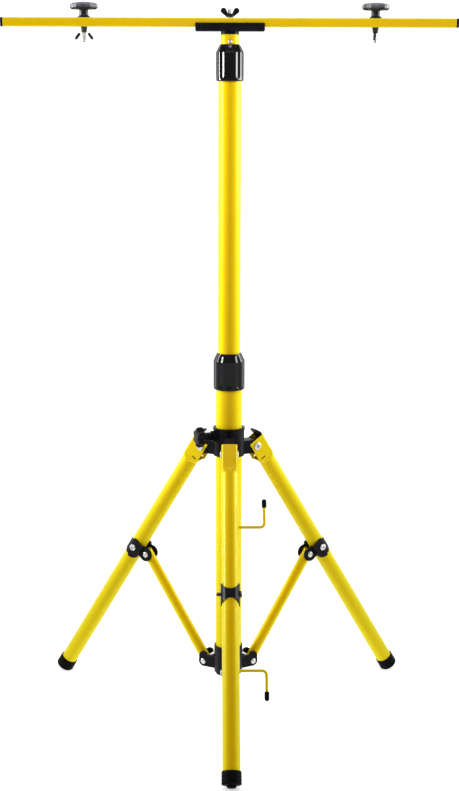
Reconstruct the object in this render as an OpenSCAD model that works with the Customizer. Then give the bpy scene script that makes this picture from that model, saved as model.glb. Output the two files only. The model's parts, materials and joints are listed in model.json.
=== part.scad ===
// Telescopic tripod stand with a crossbar for two work lights.
// It stands open, with its middle tube drawn out and its inner tube pushed in.
// Millimetres, +Z up. The origin is on the floor, in the middle of the three feet's footprint,
// and the mast stands behind it.
// The crossbar runs along X and the front leg points along -Y.

/* [Mast] */
// Outside diameter of the lower mast tube
lower_tube_d = 38; // [37.5:0.1:38]
// Outside diameter of the middle mast tube
middle_tube_d = 32; // [31:0.1:32]
// Outside diameter of the inner mast tube
inner_tube_d = 25.4; // [24.6:0.1:25.6]
// Wall thickness of every tube
tube_wall = 1.2; // [1:0.05:1.3]
// Height of the mast's lower end above the floor
mast_bottom_z = 53; // [51:1:54]
// Height of the lower tube's upper end
lower_tube_top_z = 516; // [514:1:518]
// Height of the middle tube's upper end
middle_tube_top_z = 954; // [952:1:955]
// Height of the inner tube's upper end
inner_tube_top_z = 983; // [982:0.5:983]

/* [Tripod] */
// Angle between each leg and the mast when open
leg_tilt = 32.5; // [32:0.1:33]
// Outside diameter of each leg tube
leg_d = 24; // [23:0.1:24]
// Length of each leg below its hub pivot
leg_length = 461; // [455:1:462]
// Distance of the hub pivots from the mast's axis
hub_pivot_r = 42; // [41.8:0.1:42.2]
// Height of the hub pivots when open
hub_pivot_z = 394.5; // [394:0.1:395]
// Distance of the leg clip pivots from the mast's axis
clip_pivot_r = 139.2; // [139:0.1:139.4]
// Height of the leg clip pivots when open
clip_pivot_z = 214.6; // [214:0.1:215]
// Distance of the bottom bracket pivots from the mast's axis
foot_pivot_r = 37.4; // [37:0.1:37.6]
// Height of the bottom bracket pivots
foot_pivot_z = 63.6; // [63:0.1:64]
// Outside diameter of each brace
brace_d = 15; // [14:0.1:15]

/* [Twist collars] */
// Outside diameter of the lower twist collar
lower_collar_d = 45; // [44:0.5:46]
// Height of the lower twist collar's lower end
lower_collar_z = 482.6; // [482.6:0.1:483]
// Outside diameter of the upper twist collar
upper_collar_d = 38.6; // [38.4:0.1:39]
// Height of the upper twist collar's lower end
upper_collar_z = 919.4; // [919:0.1:920]
// Number of finger flutes round each collar
flute_count = 10; // [8:1:12]

/* [Crossbar] */
// Overall length of the crossbar with its end plugs
bar_length = 633; // [600:1:640]
// Depth of the crossbar, front to back
bar_depth = 25; // [24:0.5:25]
// Height of the crossbar's section
bar_height = 12.2; // [12:0.1:12.4]
// Distance of each lamp bolt from the mast's axis
lamp_x = 202; // [190:1:210]
// Diameter of the lobed lamp knobs
lamp_knob_d = 38.4; // [36:0.2:40]

/* [Cable hooks] */
// Distance of the upper hook below the hub pivot, along the leg
upper_hook_drop = 110.5; // [106:0.5:116]
// Distance of the lower hook below the hub pivot, along the leg
lower_hook_drop = 313; // [308:0.5:318]
// Reach of each hook from the leg's axis
hook_reach = 48.5; // [44:0.5:50]
// Length of each hook's bent arm with its tip
hook_arm = 41; // [36:1:44]

/* [Hidden] */
$fn = 64;

// Small working clearances
slip = 0.05;
gap = 0.1;
over = 1;

// Directions of the three legs, seen from above
az_front = -90;
az_left = 150;
az_right = 30;
azimuths = [az_front, az_left, az_right];

// Radii taken from the diameters above
lower_r = lower_tube_d / 2;
middle_r = middle_tube_d / 2;
inner_r = inner_tube_d / 2;
leg_r = leg_d / 2;
brace_r = brace_d / 2;

// Leg frame: its origin is the hub pivot, +Z runs up the leg and +X points outboard
leg_axis_x = 7;
fork_half = 11.2;
fork_top = 9.5;
fork_end = 24.5;
fork_blend = 7;
saw_cut_z = -21;
fork_out = 11;
fork_in = 15.6;
fork_corner_r = 3;
clip_dr = clip_pivot_r - hub_pivot_r;
clip_dz = clip_pivot_z - hub_pivot_z;
clip_x = clip_dr * cos(leg_tilt) + clip_dz * sin(leg_tilt);
clip_z = clip_dz * cos(leg_tilt) - clip_dr * sin(leg_tilt);
clip_screw_z = -206.7;

// Brace: length and tilt between its two pivots
brace_dr = clip_pivot_r - foot_pivot_r;
brace_dz = clip_pivot_z - foot_pivot_z;
brace_len = norm([brace_dr, brace_dz]);
brace_tilt = atan2(brace_dr, brace_dz);

// Heights of the crossbar and the parts on it
bar_z = 993;
bar_top_z = bar_z + bar_height;
bar_round = 2.4;
centre_bolt_top_z = 1016.8;
plug_head = 3.5;

// Pins
hub_pin_r = 3;
open_pivot_clearance = 1.1;
rivet_r = 2.5;
screw_r = 2.5;
stud_r = 2.5;
centre_bolt_r = 3;

yellow = [0.87, 0.72, 0.04];
black = [0.06, 0.06, 0.07];
rubber = [0.04, 0.04, 0.04];
zinc = [0.78, 0.79, 0.8];
nylon = [0.8, 0.8, 0.76];

// ---------- Shared shapes ----------

// Points of an arc in the plane, from angle a0 to a1
function arc(cx, cy, r, a0, a1, n = 8) =
    [for (i = [0:n]) let (a = a0 + (a1 - a0) * i / n) [cx + r * cos(a), cy + r * sin(a)]];

// Outline of a rectangle with round corners, centred on the origin
function round_rect(w, h, r) = concat(
    arc(w / 2 - r, h / 2 - r, r, 0, 90, 4),
    arc(r - w / 2, h / 2 - r, r, 90, 180, 4),
    arc(r - w / 2, r - h / 2, r, 180, 270, 4),
    arc(w / 2 - r, r - h / 2, r, 270, 360, 4));

knob_lobes = 6;
lobe_depth = 3.8;

// Outline of a knob with round lobes: the radius swings between r and r - lobe_depth
function lobed(r, n = 60) =
    [for (i = [0:n - 1]) let (a = 360 * i / n, q = r - lobe_depth / 2 * (1 - cos(knob_lobes * a)))
        [q * cos(a), q * sin(a)]];

module lobed_layer(r, z, h) translate([0, 0, z]) linear_extrude(height = h) polygon(lobed(r));

module ring(r_out, r_in, z0, z1) {
    translate([0, 0, z0]) difference() {
        cylinder(r = r_out, h = z1 - z0);
        translate([0, 0, -over]) cylinder(r = r_in, h = z1 - z0 + 2 * over);
    }
}

module disc(r, z0, z1) translate([0, 0, z0]) cylinder(r = r, h = z1 - z0);

module cone(r0, r1, z0, z1) translate([0, 0, z0]) cylinder(r1 = r0, r2 = r1, h = z1 - z0);

// A cylinder along Y, from y0 to y1
module cross_pin(r, y0, y1) {
    translate([0, y0, 0]) rotate([-90, 0, 0]) cylinder(r = r, h = y1 - y0);
}

// Outline in the X-Z plane, given thickness along Y from y0 to y1
module plate_y(points, y0, y1) {
    translate([0, y1, 0]) rotate([90, 0, 0]) linear_extrude(height = y1 - y0) polygon(points);
}

// A bar along X with round edges
module bar_x(length, depth, height, r) {
    translate([-length / 2, 0, 0]) rotate([90, 0, 90])
        linear_extrude(height = length) polygon(round_rect(depth, height, r));
}

// Everything is drawn round the mast's axis and then moved back with it
module on_mast() {
    foot_circle_r = hub_pivot_r + leg_axis_x * cos(leg_tilt) + leg_length * sin(leg_tilt);
    translate([0, foot_circle_r / 4, 0]) children();
}

module at_leg(az) {
    rotate([0, 0, az]) translate([hub_pivot_r, 0, hub_pivot_z]) rotate([0, -leg_tilt, 0]) children();
}

module both_sides() {
    children();
    mirror([0, 1, 0]) children();
}

// ---------- Mast ----------

module mast_lower_tube() {
    color(yellow) on_mast() ring(lower_r, lower_r - tube_wall, mast_bottom_z, lower_tube_top_z);
}

plug_flange = 3;
plug_wall = 3;
plug_depth = 8;

module mast_bottom_plug() {
    color(black) on_mast() {
        disc(lower_r, mast_bottom_z - plug_flange, mast_bottom_z - 0.02);
        ring(lower_r - tube_wall - slip, lower_r - tube_wall - plug_wall,
            mast_bottom_z - over, mast_bottom_z + plug_depth);
    }
}

bracket_top_z = 94;
bracket_r = 21;
bracket_wall = 2.4;
bracket_half = 7.8;
lug_base_z = 56;
lug_root_x = lower_r - 2;
ear_r = 8;
ear_x = 36.6;
ear_z = 71.2;
lug_neck_x = 30.5;
lug_neck_z = 74;
stop_pin_r = 2.7;
stop_pin_z = 73.4;

// One cheek of a bracket lug: a square arm that ends in a tall rounded ear
lug_outline = concat(
    [[lug_root_x, lug_base_z]],
    arc(foot_pivot_r, foot_pivot_z, foot_pivot_z - lug_base_z, -90, 0),
    arc(ear_x, ear_z, ear_r, 0, 125),
    [[lug_neck_x, lug_neck_z], [lug_root_x, lug_neck_z]]);

module bottom_bracket() {
    color(black) on_mast() difference() {
        union() {
            ring(bracket_r, lower_r + slip, mast_bottom_z, bracket_top_z);
            for (az = azimuths) rotate([0, 0, az]) both_sides()
                plate_y(lug_outline, bracket_half, bracket_half + bracket_wall);
        }
        disc(lower_r + slip, mast_bottom_z - over, bracket_top_z + over);
        for (az = azimuths) rotate([0, 0, az]) translate([foot_pivot_r, 0, foot_pivot_z])
            cross_pin(rivet_r + 0.02, -20, 20);
    }
}

module bracket_stop_pins() {
    color(zinc) on_mast() for (az = azimuths) rotate([0, 0, az])
        translate([foot_pivot_r - brace_r - 3, 0, stop_pin_z])
            cross_pin(stop_pin_r, 0.02 - bracket_half, bracket_half - 0.02);
}

// A rivet along Y with a domed head outside each face
module rivet(shank_r, head_r, half, head_h) {
    cross_pin(shank_r, -half - 0.2, half + 0.2);
    both_sides() translate([0, half, 0]) rotate([-90, 0, 0]) {
        cylinder(r = head_r, h = head_h * 0.45);
        translate([0, 0, head_h * 0.45]) cylinder(r1 = head_r, r2 = head_r * 0.62, h = head_h * 0.55);
    }
}

module brace_foot_rivets() {
    color(zinc) on_mast() for (az = azimuths) rotate([0, 0, az]) translate([foot_pivot_r, 0, foot_pivot_z])
        rivet(rivet_r, 4.1, bracket_half + bracket_wall + slip, 2);
}

// ---------- Twist collars ----------

// The nut of a twist lock: fluted outside, with a cone inside that squeezes the collet
module collar_nut(r_out, r_body, r_tube, r_lip, z0, z_shoulder, z1) {
    flute_r = 5;
    flute_depth = 0.9;
    chamfer = 1.2;
    nut_floor = 4;
    difference() {
        union() {
            disc(r_out, z0 + chamfer, z_shoulder);
            cone(r_out - chamfer, r_out, z0, z0 + chamfer);
            cone(r_out, r_lip, z_shoulder, z1);
        }
        disc(r_body, z0 - over, z_shoulder - nut_floor);
        cone(r_body, r_tube + nut_wall_gap, z_shoulder - nut_floor, z1 - nut_floor);
        disc(r_tube + gap, z_shoulder, z1 + over);
        for (i = [0:flute_count - 1]) rotate([0, 0, 360 * (i + 0.5) / flute_count])
            translate([r_out + flute_r - flute_depth, 0, z0 + 5])
                cylinder(r = flute_r, h = z1 - z0, $fn = 40);
    }
}

// The base of a twist lock, pressed over a tube's end
module collar_base(r_tube, z0, z1) {
    ring(r_tube + 1.25, r_tube + 0.02, z0, z1);
}

// The split tapered ring of a twist lock
module collet(r_in, r_low, r_high, z0, z1) {
    slot_w = 1.6;
    difference() {
        cone(r_low, r_high, z0, z1);
        disc(r_in + slip, z0 - over, z1 + over);
        translate([0, -slot_w / 2, z0 - over]) cube([r_low + over, slot_w, z1 - z0 + 2 * over]);
    }
}

lower_shoulder_z = 524;
lower_collar_top_z = 535.5;
upper_shoulder_z = 959.3;
upper_collar_top_z = 969.6;
lower_collet_top_z = 527;
upper_collet_top_z = 963;
nut_wall_gap = 1.4;

module lower_collar_base() {
    color(black) on_mast() collar_base(lower_r, lower_collar_z + 3, lower_tube_top_z);
}

module lower_collet() {
    color(nylon) on_mast()
        collet(middle_r, lower_r + 0.9, middle_r + 2.3, lower_tube_top_z + gap, lower_collet_top_z);
}

module lower_collar() {
    color(black) on_mast() collar_nut(lower_collar_d / 2, lower_r + nut_wall_gap, middle_r, middle_r + 1.6,
        lower_collar_z, lower_shoulder_z, lower_collar_top_z);
}

module upper_collar_base() {
    color(black) on_mast() collar_base(middle_r, upper_collar_z + 3, middle_tube_top_z - 2);
}

module upper_collet() {
    color(nylon) on_mast()
        collet(inner_r, middle_r + 0.7, inner_r + 1.8, middle_tube_top_z + gap, upper_collet_top_z);
}

module upper_collar() {
    color(black) on_mast() collar_nut(upper_collar_d / 2, middle_r + nut_wall_gap, inner_r, inner_r + 1.1,
        upper_collar_z, upper_shoulder_z, upper_collar_top_z);
}

// ---------- Sliding tubes ----------

middle_tube_z = 448;
inner_tube_z = 496;
groove = 1.6;
bush_flange = 10;
bush_skirt = 16;
bush_wall = 3.2;

// A nylon guide that a tube's lower end turns in: a grooved skirt and a floor
module guide_bush(r_bore, r_tube_in, z_tube) {
    difference() {
        union() {
            disc(r_bore - slip, z_tube - bush_flange, z_tube - gap);
            disc(r_tube_in - slip, z_tube - over, z_tube + bush_skirt);
        }
        disc(r_tube_in - bush_wall, z_tube - bush_flange - over, z_tube + bush_skirt + over);
        ring(r_tube_in + over, r_tube_in - 1, z_tube + bush_skirt / 2, z_tube + bush_skirt / 2 + groove);
    }
}

module middle_guide_bush() {
    color(nylon) on_mast() guide_bush(lower_r - tube_wall, middle_r - tube_wall, middle_tube_z);
}

module middle_tube() {
    color(yellow) on_mast() ring(middle_r, middle_r - tube_wall, middle_tube_z, middle_tube_top_z);
}

module inner_guide_bush() {
    color(nylon) on_mast() guide_bush(middle_r - tube_wall, inner_r - tube_wall, inner_tube_z);
}

head_rivet_z = 973.4;
head_rivet_r = 1.75;

module inner_tube() {
    color(yellow) on_mast() difference() {
        ring(inner_r, inner_r - tube_wall, inner_tube_z, inner_tube_top_z);
        translate([0, 0, head_rivet_z]) cross_pin(head_rivet_r + slip, -20, 0);
    }
}

// ---------- Head ----------

saddle_length = 96;
saddle_z = 987.2;
saddle_top_z = 998.5;
saddle_wall = 2.4;
spigot_z = 958;
bolt_head_z = 980;
bolt_head_r = 5.7;
saddle_round = 1.6;

module head_bracket() {
    saddle_depth = bar_depth + 2 * saddle_wall + 0.2;
    color(black) on_mast() difference() {
        union() {
            translate([0, 0, (saddle_z + saddle_top_z) / 2]) rotate([-90, 0, 0])
                translate([0, 0, -saddle_depth / 2]) linear_extrude(height = saddle_depth)
                    polygon(round_rect(saddle_length, saddle_top_z - saddle_z, saddle_round));
            disc(inner_r, inner_tube_top_z, saddle_z + 0.5);
            disc(inner_r - tube_wall - slip, spigot_z, inner_tube_top_z + 0.5);
        }
        translate([0, 0, bar_z - 0.05 + 10]) cube([saddle_length + 2, bar_depth + 0.2, 20], center = true);
        disc(centre_bolt_r + slip, spigot_z - over, bar_z + over);
        translate([0, 0, spigot_z - over])
            cylinder(r = bolt_head_r + 0.15, h = bolt_head_z - spigot_z + over, $fn = 6);
        translate([0, 0, head_rivet_z]) cross_pin(head_rivet_r + slip, -20, -6);
    }
}

module head_rivet() {
    color(zinc) on_mast() translate([0, 0, head_rivet_z]) {
        cross_pin(head_rivet_r, -inner_r - 0.3, -7);
        translate([0, -inner_r - 0.35, 0]) rotate([90, 0, 0])
            cylinder(r1 = head_rivet_r + 1.25, r2 = head_rivet_r, h = 1.2);
    }
}

module crossbar() {
    tube_len = bar_length - 2 * plug_head;
    color(yellow) on_mast() translate([0, 0, bar_z + bar_height / 2]) difference() {
        bar_x(tube_len, bar_depth, bar_height, bar_round);
        bar_x(tube_len + 2, bar_depth - 2 * tube_wall, bar_height - 2 * tube_wall, bar_round - 1);
        for (x = [-lamp_x, lamp_x]) translate([x, 0, -10]) cylinder(r = stud_r + slip, h = 20);
        translate([0, 0, -10]) cylinder(r = centre_bolt_r + slip, h = 20);
    }
}

// End plug of the crossbar, for the end on the +X side
module end_plug() {
    insert_w = bar_depth - 2 * tube_wall - gap;
    insert_h = bar_height - 2 * tube_wall - gap;
    head_t = plug_head - 0.02;
    translate([bar_length / 2 - head_t, 0, bar_z + bar_height / 2]) rotate([90, 0, 90]) {
        linear_extrude(height = head_t) polygon(round_rect(bar_depth, bar_height, bar_round));
        translate([0, 0, -12]) linear_extrude(height = 13)
            polygon(round_rect(insert_w, insert_h, bar_round - 1.1));
    }
}

module crossbar_plug_right() {
    color(black) on_mast() end_plug();
}

module crossbar_plug_left() {
    color(black) on_mast() mirror([1, 0, 0]) end_plug();
}

module crossbar_bolt() {
    color(zinc) on_mast() {
        translate([0, 0, bolt_head_z - 4]) cylinder(r = bolt_head_r, h = 3.95, $fn = 6);
        disc(centre_bolt_r, bolt_head_z - 1, centre_bolt_top_z);
    }
}

module crossbar_washer() {
    color(zinc) on_mast() ring(8, centre_bolt_r + slip, bar_top_z + 0.02, bar_top_z + 1.2);
}

// One wing of a nut: an arm that leans out from the body and ends in a round ear
function wing_outline(x0, x1, z0, z1, r) = concat(
    [[x0 - 2.5, z0], [x0 + 1.5, z0]],
    arc(x1 - r, z1 - r, r, -30, 190, 14),
    [[x0 - 1.2, z0 + 2.6]]);

module wing_nut(bore_r, base_r, top_r, body_h, span, wing_z, wing_h, wing_t, tip_r) {
    difference() {
        union() {
            cylinder(r1 = base_r, r2 = top_r, h = body_h);
            for (s = [0, 180]) rotate([0, 0, s])
                plate_y(wing_outline(top_r, span / 2, wing_z, wing_z + wing_h, tip_r),
                    -wing_t / 2, wing_t / 2);
        }
        translate([0, 0, -over]) cylinder(r = bore_r + slip, h = body_h + wing_h + 2 * over);
    }
}

module crossbar_wing_nut() {
    color(black) on_mast() translate([0, 0, bar_top_z + 1.25]) rotate([0, 0, 12])
        wing_nut(centre_bolt_r, 5.6, 4.8, 5, 25.6, 1.4, 11.2, 3.2, 3.5);
}

// ---------- Lamp fixings ----------

knob_stem_z = bar_top_z + 1.6;
knob_cap_z = 1016.2;
knob_top_z = 1026.4;
knob_bore_top_z = 1021;

module lamp_knob(x, turn) {
    color(black) on_mast() translate([x, 0, 0]) rotate([0, 0, turn]) difference() {
        union() {
            disc(9, bar_top_z + 0.03, bar_top_z + 1);
            cone(9, 6.6, bar_top_z + 1, knob_stem_z + 1);
            cone(6.6, 6, knob_stem_z + 1, knob_cap_z + 0.5);
            lobed_layer(lamp_knob_d / 2, knob_cap_z + 1, 6);
            lobed_layer(lamp_knob_d / 2 - 1, knob_cap_z, 1.01);
            lobed_layer(lamp_knob_d / 2 - 1.6, knob_cap_z + 6.99, 1.61);
            cone(13.4, 9, knob_top_z - 1.7, knob_top_z);
        }
        disc(stud_r + 0.02, bar_top_z - over, knob_bore_top_z);
    }
}

module lamp_knob_left() {
    lamp_knob(-lamp_x, 0);
}

module lamp_knob_right() {
    lamp_knob(lamp_x, 6);
}

stud_end_z = 972;
stud_top_z = 1020.9;
stud_tip = 0.6;

// Lamp bolt: a groove marks off the free end, which takes the lamp's own nut
module lamp_bolt() {
    groove_z = 980.5;
    color(zinc) on_mast() {
        cone(stud_r - stud_tip, stud_r, stud_end_z, stud_end_z + stud_tip);
        disc(stud_r, stud_end_z + stud_tip, groove_z);
        disc(stud_r - 0.3, groove_z - over, groove_z + 1.5 + over);
        disc(stud_r, groove_z + 1.5, stud_top_z);
    }
}

module lamp_bolt_left() {
    translate([-lamp_x, 0, 0]) lamp_bolt();
}

module lamp_bolt_right() {
    translate([lamp_x, 0, 0]) lamp_bolt();
}

// The wing nut hangs upside down under the crossbar
module lamp_wing_nut(turn) {
    color(zinc) on_mast() translate([0, 0, bar_z - 0.05]) mirror([0, 0, 1]) rotate([0, 0, turn])
        wing_nut(stud_r, 4.6, 3.6, 8, 26, 6, 11.6, 2.2, 1.8);
}

module lamp_wing_nut_left() {
    translate([-lamp_x, 0, 0]) lamp_wing_nut(0);
}

module lamp_wing_nut_right() {
    translate([lamp_x, 0, 0]) lamp_wing_nut(78);
}

// ---------- Hub ----------

hub_bottom_z = 384.7;
hub_top_z = 426.2;
hub_bore_r = lower_r + 0.65;
hub_r = 22.2;
hub_rim_r = 23.2;
lug_half = 9.4;
lug_r = 9.8;
clamp_az = 200;
clamp_z = 414;
pad_r = 5;
clamp_r = 3.5;
clamp_knob_r = 14.8;
pocket_end = 22.4;

module at_clamp() {
    rotate([0, 0, clamp_az]) translate([0, 0, clamp_z]) rotate([0, 90, 0]) children();
}

module hub() {
    color(black) on_mast() difference() {
        union() {
            disc(hub_r, hub_bottom_z, hub_top_z);
            disc(hub_rim_r, hub_top_z - 3, hub_top_z);
            cone(hub_r, hub_rim_r, hub_top_z - 5, hub_top_z - 3);
            for (az = azimuths) rotate([0, 0, az]) {
                translate([lower_r, -lug_half, hub_pivot_z - lug_r])
                    cube([hub_pivot_r - lower_r, 2 * lug_half, 2 * lug_r]);
                translate([hub_pivot_r, 0, hub_pivot_z]) cross_pin(lug_r, -lug_half, lug_half);
            }
            at_clamp() disc(8, lower_r, 27);
        }
        disc(hub_bore_r, hub_bottom_z - over, hub_top_z + over);
        for (az = azimuths) rotate([0, 0, az]) translate([hub_pivot_r, 0, hub_pivot_z])
            cross_pin(hub_pin_r + 0.02, -20, 20);
        at_clamp() disc(pad_r + slip, lower_r - 4, pocket_end);
        at_clamp() disc(clamp_r + slip, lower_r - 4, 30);
    }
}

// Hollow rivets: each has a wide rolled head and an open middle
module hub_rivets() {
    head_y = fork_half + 0.6;
    color(zinc) on_mast() for (az = azimuths) rotate([0, 0, az]) translate([hub_pivot_r, 0, hub_pivot_z])
        difference() {
            union() {
                cross_pin(hub_pin_r, -head_y - 0.3, head_y + 0.3);
                both_sides() translate([0, head_y, 0]) rotate([-90, 0, 0]) {
                    cylinder(r = 5.6, h = 0.7);
                    translate([0, 0, 0.7]) cylinder(r1 = 5.6, r2 = 4.2, h = 0.8);
                }
            }
            cross_pin(2.3, -20, 20);
        }
}

module hub_brake_pad() {
    color(nylon) on_mast() at_clamp() disc(pad_r, lower_r + 0.75, pocket_end - gap);
}

module hub_clamp_stud() {
    color(zinc) on_mast() at_clamp() disc(clamp_r, pocket_end - slip, 46);
}

module hub_clamp_knob() {
    color(black) on_mast() at_clamp() difference() {
        union() {
            disc(6.2, 27.2, 40);
            lobed_layer(clamp_knob_r - 1.1, 39.5, 1.51);
            lobed_layer(clamp_knob_r, 41, 9);
            lobed_layer(clamp_knob_r - 1.4, 49.99, 1.5);
        }
        disc(clamp_r + 0.02, 20, 46.1);
    }
}

// ---------- Legs ----------

// Section of the leg's pressed fork, open on the inboard side
module fork_section(half, out_x, in_x) {
    r = fork_corner_r;
    polygon(concat([[leg_axis_x - in_x, -half]],
        arc(leg_axis_x + out_x - r, r - half, r, -90, 0, 4),
        arc(leg_axis_x + out_x - r, half - r, r, 0, 90, 4),
        [[leg_axis_x - in_x, half]]));
}

// The blend from the square fork to the round tube
module fork_blend_shape(half, out_x, in_x, r_tube) {
    hull() {
        translate([0, 0, -fork_end - 0.01]) linear_extrude(height = 0.01)
            fork_section(half, out_x, min(in_x, leg_r + 1));
        translate([leg_axis_x, 0, -fork_end - fork_blend]) cylinder(r = r_tube, h = 0.01, $fn = 32);
    }
}

module leg_tube(pin_hole_r) {
    tube_h = leg_length - fork_end - fork_blend;
    difference() {
        union() {
            translate([leg_axis_x, 0, -leg_length]) cylinder(r = leg_r, h = tube_h);
            fork_blend_shape(fork_half, fork_out, fork_in, leg_r);
            translate([0, 0, -fork_end]) linear_extrude(height = fork_end + fork_top)
                fork_section(fork_half, fork_out, fork_in);
        }
        translate([leg_axis_x, 0, -leg_length - over])
            cylinder(r = leg_r - tube_wall, h = tube_h + 2 * over);
        fork_blend_shape(fork_half - tube_wall, fork_out - tube_wall, fork_in, leg_r - tube_wall);
        translate([0, 0, -fork_end - 0.02]) linear_extrude(height = fork_end + fork_top + over)
            fork_section(fork_half - tube_wall, fork_out - tube_wall, fork_in + over);
        cross_pin(pin_hole_r, -20, 20);
        // Saw cut that frees the fork from the round tube
        translate([leg_axis_x - leg_r, -20, saw_cut_z - 1]) cube([8, 40, 2]);
        translate([leg_axis_x, 0, clip_screw_z]) cross_pin(screw_r + slip, -20, 20);
    }
}

module leg_front() {
    color(yellow) on_mast() at_leg(az_front) difference() {
        leg_tube(hub_pin_r + slip);
        for (drop = [upper_hook_drop, lower_hook_drop])
            translate([leg_axis_x, 0, -drop]) cross_pin(wire_r + 0.02, 0, 20);
    }
}

module leg_left() {
    color(yellow) on_mast() at_leg(az_left) leg_tube(hub_pin_r + open_pivot_clearance);
}

module leg_right() {
    color(yellow) on_mast() at_leg(az_right) leg_tube(hub_pin_r + open_pivot_clearance);
}

// Plastic cap in the fork's upper end, with a lip that leans in over the hub's lug
module leg_cap(az) {
    half = fork_half - tube_wall - fork_corner_r - slip;
    web_x = leg_axis_x + fork_out - tube_wall - 0.05;
    color(black) on_mast() at_leg(az) {
        translate([web_x - 4, -half, -12]) cube([4, 2 * half, 12 + fork_top + 0.5]);
        plate_y([[web_x - 4.2, fork_top - 1], [web_x, fork_top - 1], [web_x, fork_top + gap],
            [web_x + 1, fork_top + gap], [web_x + 1, fork_top + 2.6], [13.6, 20], [12.2, 20.2],
            [10.8, 18.6]], -half, half);
    }
}

module leg_cap_front() {
    leg_cap(az_front);
}

module leg_cap_left() {
    leg_cap(az_left);
}

module leg_cap_right() {
    leg_cap(az_right);
}

// Rubber foot: a cup with a round nose under it, its rim worn flat where it meets the floor
module foot(az) {
    cup_r = leg_r + 1.6;
    rim_r = 1.8;
    nose_r = 4;
    nose_x = 3;
    mouth = -447;
    rim_z = -463.5;
    color(rubber) on_mast() difference() {
        at_leg(az) translate([leg_axis_x, 0, 0]) rotate_extrude() polygon(concat(
            [[0, rim_z - rim_r - nose_r]],
            arc(nose_x, rim_z - rim_r, nose_r, -90, 0, 6),
            arc(cup_r - rim_r, rim_z, rim_r, -90, 0, 6),
            [[cup_r - 0.4, mouth - 0.5], [cup_r - 0.9, mouth], [leg_r + slip, mouth],
            [leg_r + slip, -leg_length - gap], [0, -leg_length - gap]]));
        translate([-500, -500, -20]) cube([1000, 1000, 20]);
    }
}

module foot_front() {
    foot(az_front);
}

module foot_left() {
    foot(az_left);
}

module foot_right() {
    foot(az_right);
}

// ---------- Leg clips ----------

clip_t = 1.3;
clip_half = leg_r + 0.1;
ear_half = brace_r + 0.35;

// Cheek over the leg: a pointed upper corner and a round belly about the screw
cheek_outline = concat(
    [[leg_axis_x + 1.5, -192.1]],
    arc(leg_axis_x, clip_screw_z - 1.3, 15.1, -84, -150),
    [[leg_axis_x - leg_r - clip_t, -194.5]]);

// Ear that holds the brace
ear_outline = concat(
    arc(clip_x, clip_z, 10.8, 65, 290, 12),
    [[leg_axis_x - leg_r, -213], [leg_axis_x - leg_r, -194.5]]);

module leg_clip() {
    belly = 13.2;
    waist = 6.3;
    mid_z = -207.6;
    reach_up = 15.5;
    reach_down = 12.5;
    difference() {
        union() {
            both_sides() {
                plate_y(cheek_outline, clip_half, clip_half + clip_t);
                plate_y(ear_outline, ear_half, ear_half + clip_t);
                translate([leg_axis_x - leg_r - clip_t, ear_half, -215])
                    cube([clip_t, clip_half - ear_half + clip_t, 20.5]);
            }
            difference() {
                translate([leg_axis_x, 0, mid_z]) ring(clip_half + clip_t, clip_half, -reach_down, reach_up);
                translate([leg_axis_x - 20, -20, -230]) cube([20, 40, 50]);
                for (s = [-1, 1]) translate([0, 0, mid_z + s * (waist + belly)])
                    rotate([0, 90, 0]) cylinder(r = belly, h = 40);
            }
        }
        translate([leg_axis_x, 0, clip_screw_z]) cross_pin(screw_r + slip, -20, 20);
        translate([clip_x, 0, clip_z]) cross_pin(rivet_r + 0.02, -20, 20);
    }
}

module leg_clip_front() {
    color(black) on_mast() at_leg(az_front) leg_clip();
}

module leg_clip_left() {
    color(black) on_mast() at_leg(az_left) leg_clip();
}

module leg_clip_right() {
    color(black) on_mast() at_leg(az_right) leg_clip();
}

// Pan-head screw through clip and leg: its tip stands out on the far side
module clip_screw(az, side) {
    head_y = clip_half + clip_t + slip;
    flip = side < 0 ? 1 : 0;
    color(zinc) on_mast() at_leg(az) mirror([0, flip, 0]) translate([leg_axis_x, 0, clip_screw_z]) {
        cross_pin(screw_r, -head_y - 5, head_y + 0.2);
        translate([0, -head_y - 6, 0]) rotate([-90, 0, 0]) cylinder(r1 = 1.4, r2 = screw_r, h = 1);
        translate([0, head_y, 0]) rotate([-90, 0, 0]) difference() {
            union() {
                cylinder(r = 5, h = 1.2);
                translate([0, 0, 1.2]) cylinder(r1 = 5, r2 = 3.6, h = 1.6);
            }
            translate([0, 0, 1]) cylinder(r = 1.5, h = 3);
        }
    }
}

module clip_screw_front() {
    clip_screw(az_front, 1);
}

module clip_screw_left() {
    clip_screw(az_left, 1);
}

module clip_screw_right() {
    clip_screw(az_right, -1);
}

module clip_rivet(az) {
    color(zinc) on_mast() at_leg(az) translate([clip_x, 0, clip_z])
        rivet(rivet_r, 4.5, ear_half + clip_t + slip, 2);
}

module clip_rivet_front() {
    clip_rivet(az_front);
}

module clip_rivet_left() {
    clip_rivet(az_left);
}

module clip_rivet_right() {
    clip_rivet(az_right);
}

// ---------- Braces ----------

module brace(az) {
    color(yellow) on_mast() rotate([0, 0, az])
        translate([foot_pivot_r, 0, foot_pivot_z]) rotate([0, brace_tilt, 0]) difference() {
            intersection() {
                ring(brace_r, brace_r - 1, -brace_r, brace_len + brace_r);
                union() {
                    translate([-brace_r - over, -brace_r - over, 0])
                        cube([2 * (brace_r + over), 2 * (brace_r + over), brace_len]);
                    for (z = [0, brace_len]) translate([0, 0, z]) cross_pin(brace_r, -10, 10);
                }
            }
            for (z = [0, brace_len]) translate([0, 0, z]) cross_pin(rivet_r + slip, -20, 20);
        }
}

module brace_front() {
    brace(az_front);
}

module brace_left() {
    brace(az_left);
}

module brace_right() {
    brace(az_right);
}

// ---------- Cable hooks ----------

wire_r = 2;
bend_r = 6;
tip_len = 12.4;

module at_hook(drop, dir) {
    at_leg(az_front) translate([leg_axis_x, 0, -drop]) mirror([0, 0, dir > 0 ? 0 : 1]) children();
}

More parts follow.
